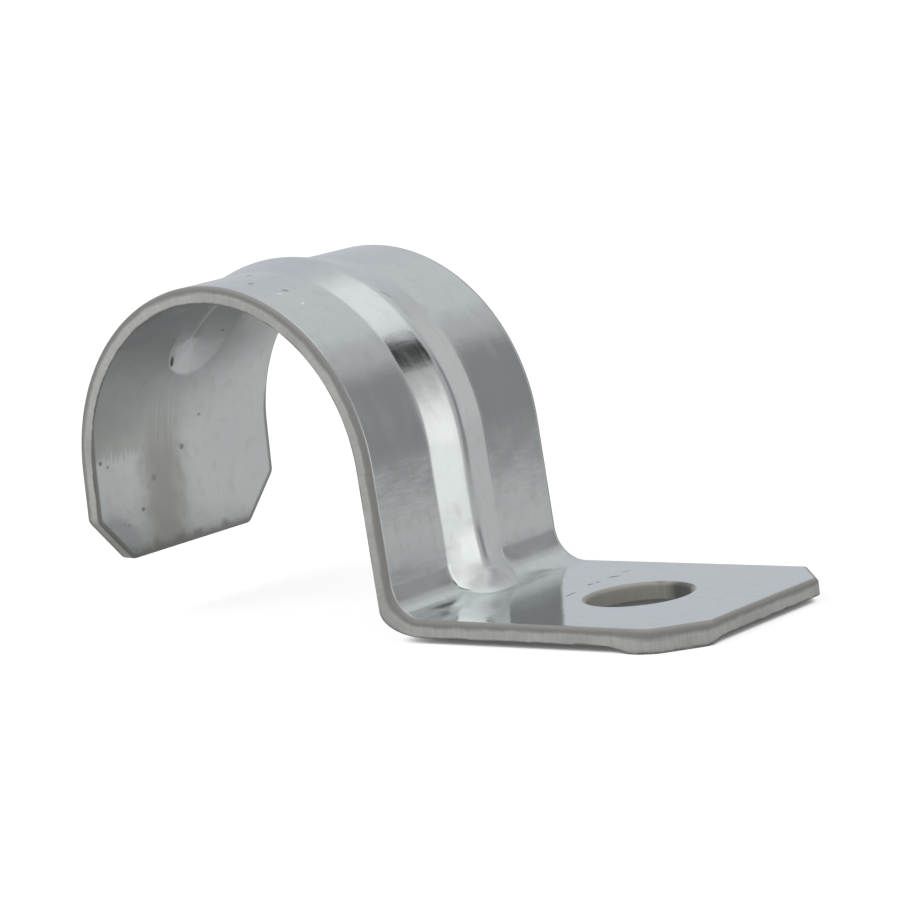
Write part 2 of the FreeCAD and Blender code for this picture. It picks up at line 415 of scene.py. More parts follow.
def stations_along():
    """Distances along the strip at which it has points, closest where it bends most."""
    start_to = RIB_FULL_FROM + FORM_MARGIN
    lip_from = STRIP_LENGTH - LIP_FROM_END - LIP_RADIUS - FORM_MARGIN
    found = spaced(0, SADDLE_FROM, FLAT_SPACING)
    found += spaced(SADDLE_FROM, RIB_FROM, BEND_SPACING)
    found += spaced(RIB_FROM, start_to, START_SPACING)
    found += spaced(start_to, LEG_FROM, BEND_SPACING)
    found += spaced(LEG_FROM, HEEL_FROM, FLAT_SPACING)
    found += spaced(HEEL_FROM, FOOT_FROM, HEEL_SPACING)
    found += spaced(FOOT_FROM, lip_from, FLAT_SPACING)
    return found + spaced(lip_from, STRIP_LENGTH, LIP_SPACING)


def stations_across():
    """Distances across the strip at which it has points, closest over the rib."""
    flank = spaced(HALF_RIB, HALF_WIDTH, FLAT_SPACING)
    rib = spaced(-HALF_RIB, HALF_RIB, RIB_SPACING)
    return [-across for across in reversed(flank)] + rib[1:] + flank


def strip_corners():
    """The flat strip's eight corners with their rounding, anticlockwise from the free end."""
    free_across = HALF_WIDTH - FREE_CORNER_ACROSS
    foot_across = HALF_WIDTH - FOOT_CORNER_ACROSS
    foot_along = STRIP_LENGTH - FOOT_CORNER_ALONG
    front = [
        (0, -free_across, FREE_CORNER_ROUNDING),
        (FREE_CORNER_ALONG, -HALF_WIDTH, FREE_CORNER_ROUNDING),
        (foot_along, -HALF_WIDTH, LIP_CORNER_ROUNDING),
        (STRIP_LENGTH, -foot_across, FOOT_CORNER_ROUNDING),
    ]
    back = [
        (STRIP_LENGTH, foot_across, FOOT_CORNER_ROUNDING),
        (foot_along, HALF_WIDTH, FOOT_CORNER_ROUNDING),
        (FREE_CORNER_ALONG, HALF_WIDTH, FREE_CORNER_ROUNDING),
        (0, free_across, FREE_CORNER_ROUNDING),
    ]
    return front + back


def inset_corner(before, corner, after, inset):
    """Where the two edges at a corner meet after both move inwards by inset."""
    first = (corner - before).normalized()
    second = (after - corner).normalized()
    inwards = Vector((-first.y, first.x)) + Vector((-second.y, second.x))
    return corner + inwards * (inset / (1 + first.dot(second)))


def outline(inset, stations):
    """The strip's rounded outline moved inwards by inset, with the same points at any inset."""
    corners = [(Vector(c[:2]), c[2]) for c in strip_corners()]
    places = []
    for i, (corner, rounding) in enumerate(corners):
        before = corners[i - 1][0]
        after = corners[(i + 1) % len(corners)][0]
        places.append((inset_corner(before, corner, after, inset), rounding))
    arcs = []
    for i, (place, rounding) in enumerate(places):
        first = (place - places[i - 1][0]).normalized()
        second = (places[(i + 1) % len(places)][0] - place).normalized()
        turn = first.angle(second)
        radius = max(rounding - inset, BREAK_SIZE)
        cut = radius * math.tan(turn / 2)
        centre = place - first * cut + Vector((-first.y, first.x)) * radius
        arc = []
        for step in range(CORNER_STEPS + 1):
            out = Vector((first.y, -first.x))
            out.rotate(Matrix.Rotation(turn * step / CORNER_STEPS, 2))
            arc.append(centre + out * radius)
        arcs.append(arc)
    long_from = FREE_CORNER_ALONG + FORM_MARGIN
    long_to = HOLE_AT + LONG_EDGE_PAST_HOLE
    inner = [along for along in stations if long_from < along < long_to]
    points = []
    for i, arc in enumerate(arcs):
        points += arc
        start = arc[-1]
        after = (i + 1) % len(arcs)
        if i in LONG_EDGES:
            points += [Vector((along, start.y)) for along in inner]
            # The second long edge runs back towards the free end
            inner = inner[::-1]
            continue
        count = max(2, round((corners[after][0] - corners[i][0]).length / LIP_SPACING))
        points += [start.lerp(arcs[after][0], k / count) for k in range(1, count)]
    return points


def hole_ring(inset):
    """The screw hole's rim moved into the sheet by inset."""
    radius = HOLE_DIAMETER / 2 + inset
    turns = [math.tau * i / HOLE_STEPS for i in range(HOLE_STEPS)]
    return [HOLE_CENTRE + radial(math.degrees(turn)) * radius for turn in turns]


def shear_profile():
    """Inset and depth of the sheared edge's rows, from the outer face to the inner one."""
    rows = []
    for step in range(ROLL_STEPS + 1):
        turn = math.pi / 2 * step / ROLL_STEPS
        rows.append((ROLL_REACH * (1 - math.sin(turn)), ROLL_DROP * (1 - math.cos(turn))))
    rows += [(0, SHEET * share) for share in WALL_ROWS]
    return rows + [(0, SHEET - BREAK_SIZE), (BREAK_SIZE, SHEET)]


def inside_by(point, ring):
    """How far a point lies inside a convex ring, negative outside it."""
    nearest = math.inf
    for i, corner in enumerate(ring):
        edge = ring[(i + 1) % len(ring)] - corner
        if edge.length > 0:
            nearest = min(nearest, edge.cross(point - corner) / edge.length)
    return nearest


def face_points(inset, stations):
    """Grid points of one flat face, clear of its rim and of the hole's rim."""
    corners = inset_corners(inset)
    hole = HOLE_DIAMETER / 2 + inset
    found = []
    for along in stations:
        for across in stations_across():
            point = Vector((along, across))
            clear = min(inside_by(point, corners), (point - HOLE_CENTRE).length - hole)
            if clear > RIM_CLEAR:
                found.append(point)
    return found


def inset_corners(inset):
    """The strip's eight corners, unrounded, moved inwards by inset."""
    corners = [Vector(c[:2]) for c in strip_corners()]
    after = corners[1:] + corners[:1]
    return [inset_corner(corners[i - 1], corners[i], after[i], inset) for i in range(len(corners))]


def add_points(build, points, depth, insets):
    """Adds points of the flat strip, which keep their places in millimetres for the plating."""
    layers = [build.verts.layers.float[name] for name in PLACES]
    vertices = []
    for point, inset in zip(points, insets):
        vertex = build.verts.new((point.x * MM, point.y * MM, -depth * MM))
        for layer, value in zip(layers, (point.x, point.y, depth, inset)):
            vertex[layer] = value
        vertices.append(vertex)
    return vertices


def add_face(build, inset, depth, stations):
    """Fills one flat face of the strip at a depth, with the hole left open."""
    rim = outline(inset, stations)
    hole = hole_ring(inset)
    grid = face_points(inset, stations)
    edges = [(i, (i + 1) % len(rim)) for i in range(len(rim))]
    first = len(rim)
    edges += [(first + i, first + (i + 1) % len(hole)) for i in range(len(hole))]
    inside_rim = 1
    flat, _, triangles, *_ = delaunay_2d_cdt(rim + hole + grid, edges, [], inside_rim, FACE_PRECISION)
    corners = inset_corners(0)
    from_hole = [(point - HOLE_CENTRE).length - HOLE_DIAMETER / 2 for point in flat]
    insets = [min(inside_by(point, corners), away) for point, away in zip(flat, from_hole)]
    vertices = add_points(build, flat, depth, insets)
    for triangle in triangles:
        if max(from_hole[i] for i in triangle) > inset + MERGE_REACH:
            build.faces.new([vertices[i] for i in triangle])
    loose = [vertex for vertex in vertices if not vertex.link_faces]
    bmesh.ops.delete(build, geom=loose, context="VERTS")


def add_wall(build, rings):
    """Joins rings of points, each a list of points, an inset and a depth, into one wall."""
    rows = [add_points(build, points, depth, [inset] * len(points)) for points, inset, depth in rings]
    for upper, lower in zip(rows[:-1], rows[1:]):
        for i in range(len(upper)):
            j = (i + 1) % len(upper)
            build.faces.new((upper[i], upper[j], lower[j], lower[i]))


def flat_strip():
    """The strip before it is folded: cut corners, screw hole and sheared edges."""
    stations = stations_along()
    profile = shear_profile()
    build = bmesh.new()
    for name in PLACES:
        build.verts.layers.float.new(name)
    add_face(build, *profile[0], stations)
    add_face(build, *profile[-1], stations)
    add_wall(build, [(outline(inset, stations), inset, depth) for inset, depth in profile])
    add_wall(build, [(hole_ring(inset), inset, depth) for inset, depth in profile])
    bmesh.ops.remove_doubles(build, verts=build.verts, dist=MERGE_REACH * MM)
    bmesh.ops.recalc_face_normals(build, faces=build.faces)
    return placed("strap_flat", finished_mesh("strap", build))


class Nodes:
    """Adds nodes to a Geometry Nodes tree, a material, a world or a group, a value at a time."""

    def __init__(self, tree):
        self.tree = tree

    def node(self, kind, **settings):
        made = self.tree.nodes.new(kind)
        for name, value in settings.items():
            setattr(made, name, value)
        return made

    def feed(self, socket, value):
        if isinstance(value, bpy.types.NodeSocket):
            self.tree.links.new(value, socket)
        else:
            socket.default_value = value

    def number(self, operation, first, second=0.0, third=0.0):
        made = self.node("ShaderNodeMath", operation=operation)
        for socket, value in zip(made.inputs, (first, second, third)):
            self.feed(socket, value)
        return made.outputs[0]

    def vector(self, operation, first, second=None, scale=None):
        made = self.node("ShaderNodeVectorMath", operation=operation)
        self.feed(made.inputs[0], first)
        if second is not None:
            self.feed(made.inputs[1], second)
        if scale is not None:
            self.feed(made.inputs["Scale"], scale)
        return made.outputs[0]

    def split(self, vector):
        made = self.node("ShaderNodeSeparateXYZ")
        self.feed(made.inputs[0], vector)
        return made.outputs

    def diagonal(self, first, second):
        """Square root of the sum of two squares."""
        squares = [self.number("POWER", side, 2.0) for side in (first, second)]
        return self.number("SQRT", self.number("ADD", *squares))

    def sagitta(self, radius, aside):
        """How far an arc of a radius has fallen away at a distance aside from its top."""
        squares = [self.number("POWER", side, 2.0) for side in (radius, aside)]
        return self.number("SUBTRACT", radius, self.number("SQRT", self.number("SUBTRACT", *squares)))

    def share(self, value, start, end, kind="SMOOTHSTEP"):
        """Nothing at or before start, rising to one at end."""
        made = self.node("ShaderNodeMapRange", interpolation_type=kind)
        self.feed(made.inputs["Value"], value)
        self.feed(made.inputs["From Min"], start)
        self.feed(made.inputs["From Max"], end)
        return made.outputs[0]

    def fade(self, value, start, end):
        """One at or before start, falling to nothing at end."""
        return self.number("SUBTRACT", 1.0, self.share(value, start, end))

    def blend(self, share, low, high):
        made = self.node("ShaderNodeMix", data_type="FLOAT")
        self.feed(made.inputs["Factor"], share)
        self.feed(made.inputs["A"], low)
        self.feed(made.inputs["B"], high)
        return made.outputs["Result"]

    def colour(self, share, low, high):
        made = self.node("ShaderNodeMix", data_type="RGBA")
        colours = [socket for socket in made.inputs if socket.type == "RGBA"]
        self.feed(made.inputs["Factor"], share)
        self.feed(colours[0], low)
        self.feed(colours[1], high)
        return [socket for socket in made.outputs if socket.type == "RGBA"][0]


def rib_field(fields, across, fade, rounding, height, half_rib, crest, foot):
    """Height of the rib's section at a distance across it: two arcs joined by a flank."""
    number = fields.number
    share = number("DIVIDE", number("ABSOLUTE", across), half_rib)
    both = number("ADD", number("POWER", share, rounding), number("POWER", fade, rounding))
    distance = number("MULTIPLY", number("POWER", both, number("DIVIDE", 1.0, rounding)), half_rib)
    radii = number("ADD", crest, foot)
    spare = number("SUBTRACT", radii, height)
    reach = fields.diagonal(half_rib, spare)
    slope = number("SUBTRACT", number("ARCSINE", number("DIVIDE", radii, reach)),
                   number("ARCTAN2", spare, half_rib))
    sine = number("SINE", slope)
    crest_end = number("MULTIPLY", crest, sine)
    foot_start = number("SUBTRACT", half_rib, number("MULTIPLY", foot, sine))
    on_crest = number("MINIMUM", distance, crest_end)
    fall = fields.sagitta(crest, on_crest)
    on_flank = number("SUBTRACT", number("MINIMUM", distance, foot_start), on_crest)
    fall = number("ADD", fall, number("MULTIPLY", on_flank, number("TANGENT", slope)))
    from_end = number("MAXIMUM", number("SUBTRACT", half_rib, distance), 0.0)
    on_foot = number("MINIMUM", from_end, number("MULTIPLY", foot, sine))
    foot_rise = number("MULTIPLY", foot, number("SUBTRACT", 1.0, number("COSINE", slope)))
    past_flank = number("SUBTRACT", foot_rise, fields.sagitta(foot, on_foot))
    left = number("SUBTRACT", number("SUBTRACT", height, fall), past_flank)
    return number("MAXIMUM", left, 0.0)


def lip_field(fields, place, across, depth, radius, centre_x, centre_across):
    """Depth of the shallow swelling under the foot's corner, full in its middle."""
    number = fields.number
    away = fields.diagonal(number("SUBTRACT", place, centre_x), number("SUBTRACT", across, centre_across))
    flat = number("MULTIPLY", radius, LIP_FLAT_SHARE)
    return number("MULTIPLY", fields.share(away, radius, flat), depth)


FOLD_SIZES = [
    ("Sheet", SHEET),
    ("Rib Width", RIB_WIDTH),
    ("Rib Height Crown", RIB_HEIGHT_CROWN),
    ("Rib Height Leg", RIB_HEIGHT_LEG),
    ("Rib Height Heel", RIB_HEIGHT_HEEL),
    ("Rib Crest Radius", RIB_CREST_RADIUS),
    ("Rib Foot Radius", RIB_FOOT_RADIUS),
    ("Rib From", RIB_FROM),
    ("Rib Full From", RIB_FULL_FROM),
    ("Rib Rises From", saddle_distance(RIB_RISES_FROM)),
    ("Rib Rises To", LEG_FROM + RIB_RISES_BELOW_SADDLE),
    ("Heel Rise From", HEEL_FROM - RIB_HEEL_RISE_BEFORE),
    ("Heel Rise To", HEEL_FROM + RIB_HEEL_RISE_AFTER),
    ("Nose From", NOSE_FROM),
    ("Nose To", FOOT_FROM),
    ("Lip Depth", LIP_DEPTH),
    ("Lip Radius", LIP_RADIUS),
    ("Lip Centre", HOLE_TO_END - LIP_FROM_END),
    ("Lip Across", LIP_FROM_EDGE - HALF_WIDTH),
    ("Foot From", FOOT_FROM),
]


def fold_tree():
    """Geometry Nodes tree that folds the flat strip along its side path."""
    tree = bpy.data.node_groups.new("fold_strip", "GeometryNodeTree")
    face = tree.interface
    face.new_socket(name="Flat Strip", in_out="INPUT", socket_type="NodeSocketGeometry")
    face.new_socket(name="Side Path", in_out="INPUT", socket_type="NodeSocketObject")
    face.new_socket(name="Plating", in_out="INPUT", socket_type="NodeSocketMaterial")
    for name, _ in FOLD_SIZES:
        face.new_socket(name=name, in_out="INPUT", socket_type="NodeSocketFloat")
    face.new_socket(name="Nose Rounding", in_out="INPUT", socket_type="NodeSocketFloat")
    face.new_socket(name="Folded Strip", in_out="OUTPUT", socket_type="NodeSocketGeometry")

    fields = Nodes(tree)
    number = fields.number
    given = fields.node("NodeGroupInput").outputs
    along, across, above = fields.split(fields.node("GeometryNodeInputPosition").outputs[0])

    info = fields.node("GeometryNodeObjectInfo", transform_space="ORIGINAL")
    fields.feed(info.inputs["Object"], given["Side Path"])
    curve = fields.node("GeometryNodeMeshToCurve")
    fields.feed(curve.inputs[0], info.outputs["Geometry"])
    sheet_at = fields.node("GeometryNodeInputNamedAttribute", data_type="FLOAT")
    sheet_at.inputs["Name"].default_value = "sheet"
    sample = fields.node("GeometryNodeSampleCurve", mode="LENGTH", data_type="FLOAT")
    fields.feed(sample.inputs["Curves"], curve.outputs[0])
    fields.feed(sample.inputs["Value"], sheet_at.outputs["Attribute"])
    fields.feed(sample.inputs["Length"], along)
    spot = sample.outputs["Position"]
    outwards = fields.vector("CROSS_PRODUCT", sample.outputs["Tangent"], (0.0, 1.0, 0.0))
    outwards = fields.vector("NORMALIZE", outwards)

    half_rib = number("MULTIPLY", given["Rib Width"], 0.5)
    start_fade = fields.share(along, given["Rib Full From"], given["Rib From"], kind="LINEAR")
    nose_fade = fields.share(along, given["Nose From"], given["Nose To"], kind="LINEAR")
    fade = number("ADD", start_fade, nose_fade)
    height = given["Rib Height Crown"]
    for higher, start, end in (("Rib Height Leg", "Rib Rises From", "Rib Rises To"),
                               ("Rib Height Heel", "Heel Rise From", "Heel Rise To")):
        rise = fields.share(along, given[start], given[end])
        height = number("MULTIPLY_ADD", number("SUBTRACT", given[higher], height), rise, height)
    front = fields.share(across, 0.0, -NOSE_BLEND * MM)
    front_nose = number("MULTIPLY", number("GREATER_THAN", nose_fade, 0.0), front)
    rounding = number("MULTIPLY_ADD", number("SUBTRACT", given["Nose Rounding"], 2.0), front_nose, 2.0)
    rib = rib_field(fields, across, fade, rounding, height, half_rib,
                    given["Rib Crest Radius"], given["Rib Foot Radius"])

    on_foot = number("GREATER_THAN", along, given["Foot From"])
    lip = lip_field(fields, fields.split(spot)[0], across, given["Lip Depth"], given["Lip Radius"],
                    given["Lip Centre"], given["Lip Across"])
    sheet = number("MULTIPLY_ADD", lip, on_foot, sample.outputs["Value"])
    through = number("DIVIDE", above, given["Sheet"])
    rise = number("MULTIPLY_ADD", through, sheet, rib)

    sideways = fields.node("ShaderNodeCombineXYZ")
    fields.feed(sideways.inputs[1], across)
    moved = fields.vector("ADD", spot, sideways.outputs[0])
    moved = fields.vector("ADD", moved, fields.vector("SCALE", outwards, scale=rise))

    set_position = fields.node("GeometryNodeSetPosition")
    fields.feed(set_position.inputs["Geometry"], given["Flat Strip"])
    fields.feed(set_position.inputs["Position"], moved)
    smooth = fields.node("GeometryNodeSetShadeSmooth")
    fields.feed(smooth.inputs[0], set_position.outputs[0])
    realize = fields.node("GeometryNodeRealizeInstances")
    fields.feed(realize.inputs[0], smooth.outputs[0])
    plate = fields.node("GeometryNodeSetMaterial")
    fields.feed(plate.inputs["Geometry"], realize.outputs[0])
    fields.feed(plate.inputs["Material"], given["Plating"])
    fields.feed(fields.node("NodeGroupOutput").inputs[0], plate.outputs[0])
    return tree


def fold(strip, path, plating):
    """Folds the flat strip with the tree, and returns the finished strap as a plain mesh."""
    modifier = strip.modifiers.new("fold", "NODES")
    modifier.node_group = fold_tree()
    sockets = {}
    for item in modifier.node_group.interface.items_tree:
        if item.in_out == "INPUT":
            sockets[item.name] = item.identifier
    modifier[sockets["Side Path"]] = path
    modifier[sockets["Plating"]] = plating
    modifier[sockets["Nose Rounding"]] = RIB_NOSE_ROUNDING
    for name, size in FOLD_SIZES:
        modifier[sockets[name]] = size * MM
    bpy.context.view_layer.update()
    evaluated = strip.evaluated_get(bpy.context.evaluated_depsgraph_get())
    mesh = bpy.data.meshes.new_from_object(evaluated)
    strip.modifiers.remove(modifier)
    for helper in (strip, path):
        bpy.data.objects.remove(helper)
    mesh.set_sharp_from_angle(angle=math.radians(SHARP_ANGLE))
    return placed("zinc_strap", mesh)


def shade_group(name, inputs, output):
    """Empty shader group with number inputs and one number output, and its nodes' helper."""
    tree = bpy.data.node_groups.new(name, "ShaderNodeTree")
    for socket in inputs:
        tree.interface.new_socket(name=socket, in_out="INPUT", socket_type="NodeSocketFloat")
    tree.interface.new_socket(name=output, in_out="OUTPUT", socket_type="NodeSocketFloat")
    shades = Nodes(tree)
    return shades, shades.node("NodeGroupInput").outputs, shades.node("NodeGroupOutput").inputs[0]


def rolled_texture():
    """Shader group: noise on the strip's own places, drawn out along it or across it."""
    inputs = ("Along", "Across", "Layer", "Length", "Width", "Detail")
    shades, given, result = shade_group("rolled_texture", inputs, "Noise")
    place = shades.node("ShaderNodeCombineXYZ")
    shades.feed(place.inputs[0], shades.number("DIVIDE", given["Along"], given["Length"]))
    shades.feed(place.inputs[1], shades.number("DIVIDE", given["Across"], given["Width"]))
    shades.feed(place.inputs[2], given["Layer"])
    noise = shades.node("ShaderNodeTexNoise")
    shades.feed(noise.inputs["Vector"], place.outputs[0])
    shades.feed(noise.inputs["Scale"], 1.0)
    shades.feed(noise.inputs["Detail"], given["Detail"])
    shades.feed(result, noise.outputs[0])
    return shades.tree


def small_mark():
    """Shader group: a soft-edged oval mark at a place on the strip."""
    inputs = ("Along", "Across", "Mark Along", "Mark Across", "Half Length", "Half Width", "Turn")
    shades, given, result = shade_group("small_mark", inputs, "Share")
    away_along = shades.number("SUBTRACT", given["Along"], given["Mark Along"])
    away_across = shades.number("SUBTRACT", given["Across"], given["Mark Across"])
    turn = shades.number("RADIANS", given["Turn"])
    cosine = shades.number("COSINE", turn)
    sine = shades.number("SINE", turn)
    length = shades.number("ADD", shades.number("MULTIPLY", away_across, cosine),
                           shades.number("MULTIPLY", away_along, sine))
    width = shades.number("SUBTRACT", shades.number("MULTIPLY", away_along, cosine),
                          shades.number("MULTIPLY", away_across, sine))
    reach = shades.diagonal(shades.number("DIVIDE", length, given["Half Length"]),
                            shades.number("DIVIDE", width, given["Half Width"]))
    shades.feed(result, shades.fade(reach, MARK_SOLID, MARK_FADED))
    return shades.tree


class Plating:
    """The strap's plating while its nodes are made: places on the strip, noises and marks."""

    def __init__(self, material):
        self.shades = Nodes(material.node_tree)
        self.along, self.across, self.depth, self.inset = [
            self.shades.node("ShaderNodeAttribute", attribute_name=name).outputs["Fac"]
            for name in PLACES]
        self.texture = rolled_texture()
        self.mark = small_mark()
        self.inner = self.shades.number("GREATER_THAN", self.depth, SHEET / 2)
        self.outer = self.shades.number("SUBTRACT", 1.0, self.inner)

    def group(self, tree, settings):
        made = self.shades.node("ShaderNodeGroup", node_tree=tree)
        for socket, value in zip(made.inputs, settings):
            self.shades.feed(socket, value)
        return made.outputs[0]

    def noise(self, layer, length, width, detail):
        layer = self.shades.number("MULTIPLY_ADD", self.inner, SIDES_APART, layer)
        return self.group(self.texture, (self.along, self.across, layer, length, width, detail))

    def wander(self, value, noise, reach):
        """A value moved to and fro by a noise, by up to half of reach."""
        aside = self.shades.number("SUBTRACT", noise, 0.5)
        return self.shades.number("MULTIPLY_ADD", aside, reach, value)

    def marks(self, places, side):
        """All the marks of one list, each with its own darkness."""
        total = 0.0
        for along, across, half_length, half_width, turn, darkness in places:
            share = self.group(self.mark, (self.along, self.across, along, across, half_length,
                                           half_width, turn))
            share = self.shades.number("MULTIPLY", share, darkness)
            total = self.shades.number("MAXIMUM", total, share)
        return self.shades.number("MULTIPLY", total, side)


def zinc_plating():
    """Bright zinc plating with its rolled grain, stains and small marks, painted shade along its inner
    edges, by the free end's corner, at the burr and in the screw hole, and grey sheared edges.
    """
    material = bpy.data.materials.new("zinc_plating")
    material.use_nodes = True
    plating = Plating(material)
    shades = plating.shades
    number = shades.number
    blend = shades.blend

    clouds = plating.noise(*CLOUDS)
    blotches = plating.noise(*BLOTCHES)
    streaks = plating.noise(*STREAKS)

    # Plated faces
    metal = shades.colour(clouds, ZINC_DARK, ZINC_LIGHT)
    worn = number("MULTIPLY", shades.share(blotches, *WORN_BLOTCHES), WORN_SHARE)
    metal = shades.colour(worn, metal, ZINC_WORN)
    ragged = plating.wander(plating.along, streaks, STAIN_RAGGED)
    aside = number("ABSOLUTE", number("SUBTRACT", plating.across, STAIN_MIDDLE))
    aside = plating.wander(aside, blotches, STAIN_WANDER)
    stain = number("MULTIPLY", shades.fade(aside, *STAIN_ACROSS), shades.fade(ragged, *STAIN_ALONG))
    stain = number("MULTIPLY", stain, number("MULTIPLY", plating.inner, STAIN_DARKNESS))
    ragged = plating.wander(plating.along, streaks, STREAKED_RAGGED)
    streaked = number("MULTIPLY", shades.fade(plating.across, *STREAKED_ACROSS),
                      shades.share(ragged, *STREAKED_FROM))
    streaked = number("MULTIPLY", streaked, shades.fade(plating.along, *STREAKED_TO))
    streaked = number("MULTIPLY", streaked, number("MULTIPLY", plating.inner, STREAKED_DARKNESS))
    stain = number("MAXIMUM", stain, streaked)
    metal = shades.colour(stain, metal, ZINC_STAINED)
    # Painted shade on the inner side: a darker band along the free end, partly grime, and a thin dark
    # line along every edge and round the hole, wider on the free leg
    rim = plating.wander(plating.along, blotches, RIM_WANDER)
    line_reach = blend(shades.fade(plating.along, *LINE_NARROWS), LINE_REACH, LINE_REACH_FREE)
    line = shades.fade(number("DIVIDE", plating.inset, line_reach), LINE_SOLID, 1.0)
    rim = number("MULTIPLY", number("MAXIMUM", shades.fade(rim, *RIM_SHADE), line), plating.inner)
    metal = shades.colour(number("MULTIPLY", rim, RIM_DARKNESS), metal, ZINC_GRIME_AND_SHADE)
    # Dark specks and marks, and the painted shade by the free end's corner
    specks_and_shade = plating.marks(INNER_SPECKS_AND_SHADE, plating.inner)
    dashes = plating.marks(OUTER_MARKS, plating.outer)
    dark = number("MAXIMUM", specks_and_shade, dashes)
    metal = shades.colour(dark, metal, MARK_AND_SHADE_GREY)
    metal = shades.colour(plating.marks(OUTER_GLINTS, plating.outer), metal, GLINT_WHITE)

    # Sheared edges: rolled-over and matt, then burnished and streaked, then a painted shadow line at the
    # burr
    through = plating.wander(number("DIVIDE", plating.depth, SHEET), blotches, EDGE_WOBBLE)
    slowly = number("MULTIPLY", plating.depth, STRIAE_SLOWNESS)
    striae = plating.group(plating.texture, (plating.along, plating.across, slowly, STRIAE_SIZE,
                                             STRIAE_SIZE, STRIAE_DETAIL))
    edge = shades.colour(shades.share(through, *EDGE_ROLLED), EDGE_MATT, EDGE_BRIGHT)
    # Painted shadow line at the burr, near the inner face
    edge = shades.colour(shades.share(through, *EDGE_BURR_SHADOW), edge, EDGE_STRIAE_AND_SHADOW)
    # The hole's wall: olive, and darker with painted shade, with patches of darker painted shade on its
    # back
    hole_away = shades.diagonal(number("SUBTRACT", plating.along, HOLE_AT), plating.across)
    wall_ends = HOLE_DIAMETER / 2 + ROLL_REACH
    in_hole = shades.fade(hole_away, wall_ends, wall_ends + HOLE_WALL_FADE)
    edge = shades.colour(in_hole, edge, HOLE_OLIVE_AND_SHADE)
    edge = shades.colour(plating.marks(HOLE_WALL_SHADE, in_hole), edge, MARK_AND_SHADE_GREY)
    edge = shades.colour(number("MULTIPLY", striae, EDGE_STRIAE), edge, EDGE_STRIAE_AND_SHADOW)
    mottle = number("MULTIPLY", shades.share(clouds, *EDGE_MOTTLED), EDGE_MOTTLE)
    edge = shades.colour(mottle, edge, EDGE_MATT)
    reach = blend(plating.inner, ROLL_REACH, BREAK_SIZE)
    cut = shades.fade(number("DIVIDE", plating.inset, reach), *CUT_REACH)

    surface = material.node_tree.nodes["Principled BSDF"]
    shades.feed(surface.inputs["Metallic"], blend(cut, 1.0, EDGE_METALLIC))
    shades.feed(surface.inputs["Base Color"], shades.colour(cut, metal, edge))
    on_foot = shades.share(plating.along, FOOT_FROM - FOOT_BLEND, FOOT_FROM + FOOT_BLEND)
    rough = number("MULTIPLY_ADD", streaks, ROUGH_STREAKS, blend(on_foot, ROUGHNESS, ROUGH_ON_FOOT))
    rough = blend(plating.marks(STRETCHED, plating.outer), rough, ROUGH_STRETCHED)
    rough = number("MULTIPLY_ADD", worn, ROUGH_WORN, rough)
    dull = number("MAXIMUM", stain, number("MAXIMUM", rim, dark))
    rough = blend(dull, rough, ROUGH_DULL)
    shades.feed(surface.inputs["Roughness"], blend(cut, rough, ROUGH_EDGE))

    # Texture of both, as bump
    height = number("MULTIPLY", plating.noise(*WAVES), blend(on_foot, WAVE_HEIGHT, WAVE_ON_FOOT))
    height = number("MULTIPLY_ADD", plating.noise(*RIPPLES), RIPPLE_HEIGHT, height)
    height = number("MULTIPLY_ADD", streaks, STREAK_HEIGHT, height)
    height = number("MULTIPLY_ADD", plating.noise(*GRIT), GRIT_HEIGHT, height)
    height = number("MULTIPLY_ADD", dark, -MARK_DEPTH, height)
    bump = shades.node("ShaderNodeBump")
    shades.feed(bump.inputs["Distance"], MM)
    shades.feed(bump.inputs["Height"], blend(cut, height, number("MULTIPLY", striae, STRIAE_HEIGHT)))
    shades.feed(surface.inputs["Normal"], bump.outputs[0])
    return material


def card_group():
    """Shader group: how much of a soft-edged card fills a direction seen from the strap."""
    inputs = ("Azimuth", "Elevation", "Card Azimuth", "Card Elevation", "Half Width", "Half Height",
              "Lean", "Softness")
    shades, given, result = shade_group("studio_card", inputs, "Share")
    up = shades.number("SUBTRACT", given["Elevation"], given["Card Elevation"])
    around = shades.number("SUBTRACT", given["Azimuth"], given["Card Azimuth"])
    around = shades.number("SUBTRACT", around, shades.number("MULTIPLY", up, given["Lean"]))
    around = shades.number("WRAP", around, 180.0, -180.0)
    shares = []
    for away, half in ((around, given["Half Width"]), (up, given["Half Height"])):
        past = shades.number("SUBTRACT", shades.number("ABSOLUTE", away), half)
        start = shades.number("MULTIPLY", given["Softness"], -1.0)
        shares.append(shades.fade(past, start, given["Softness"]))
    shades.feed(result, shades.number("MULTIPLY", *shares))
    return shades.tree


def seen_from_strap(shades):
    """Azimuth, elevation and level distance of a point as seen from the middle of the strap."""
    seen = shades.node("ShaderNodeTexCoord").outputs["Object"]
    x, y, z = shades.split(shades.vector("SUBTRACT", seen, TENT_CENTRE))
    degrees = math.degrees(1)
    azimuth = shades.number("MULTIPLY", shades.number("ARCTAN2", y, x), degrees)
    away = shades.diagonal(x, y)
    elevation = shades.number("MULTIPLY", shades.number("ARCTAN2", z, away), degrees)
    return azimuth, elevation, away


def glow_in_metal(thing, name):
    """Makes a studio part glow, and hides it from everything but polished metal."""
    thing.visible_camera = False
    thing.visible_diffuse = False
    thing.visible_shadow = False
    thing.visible_transmission = False
    material = bpy.data.materials.new(name)
    material.use_nodes = True
    material.node_tree.nodes.clear()
    thing.data.materials.append(material)
    shades = Nodes(material.node_tree)
    glow = shades.node("ShaderNodeEmission")
    shades.feed(shades.node("ShaderNodeOutputMaterial").inputs["Surface"], glow.outputs[0])
    return shades, glow.inputs


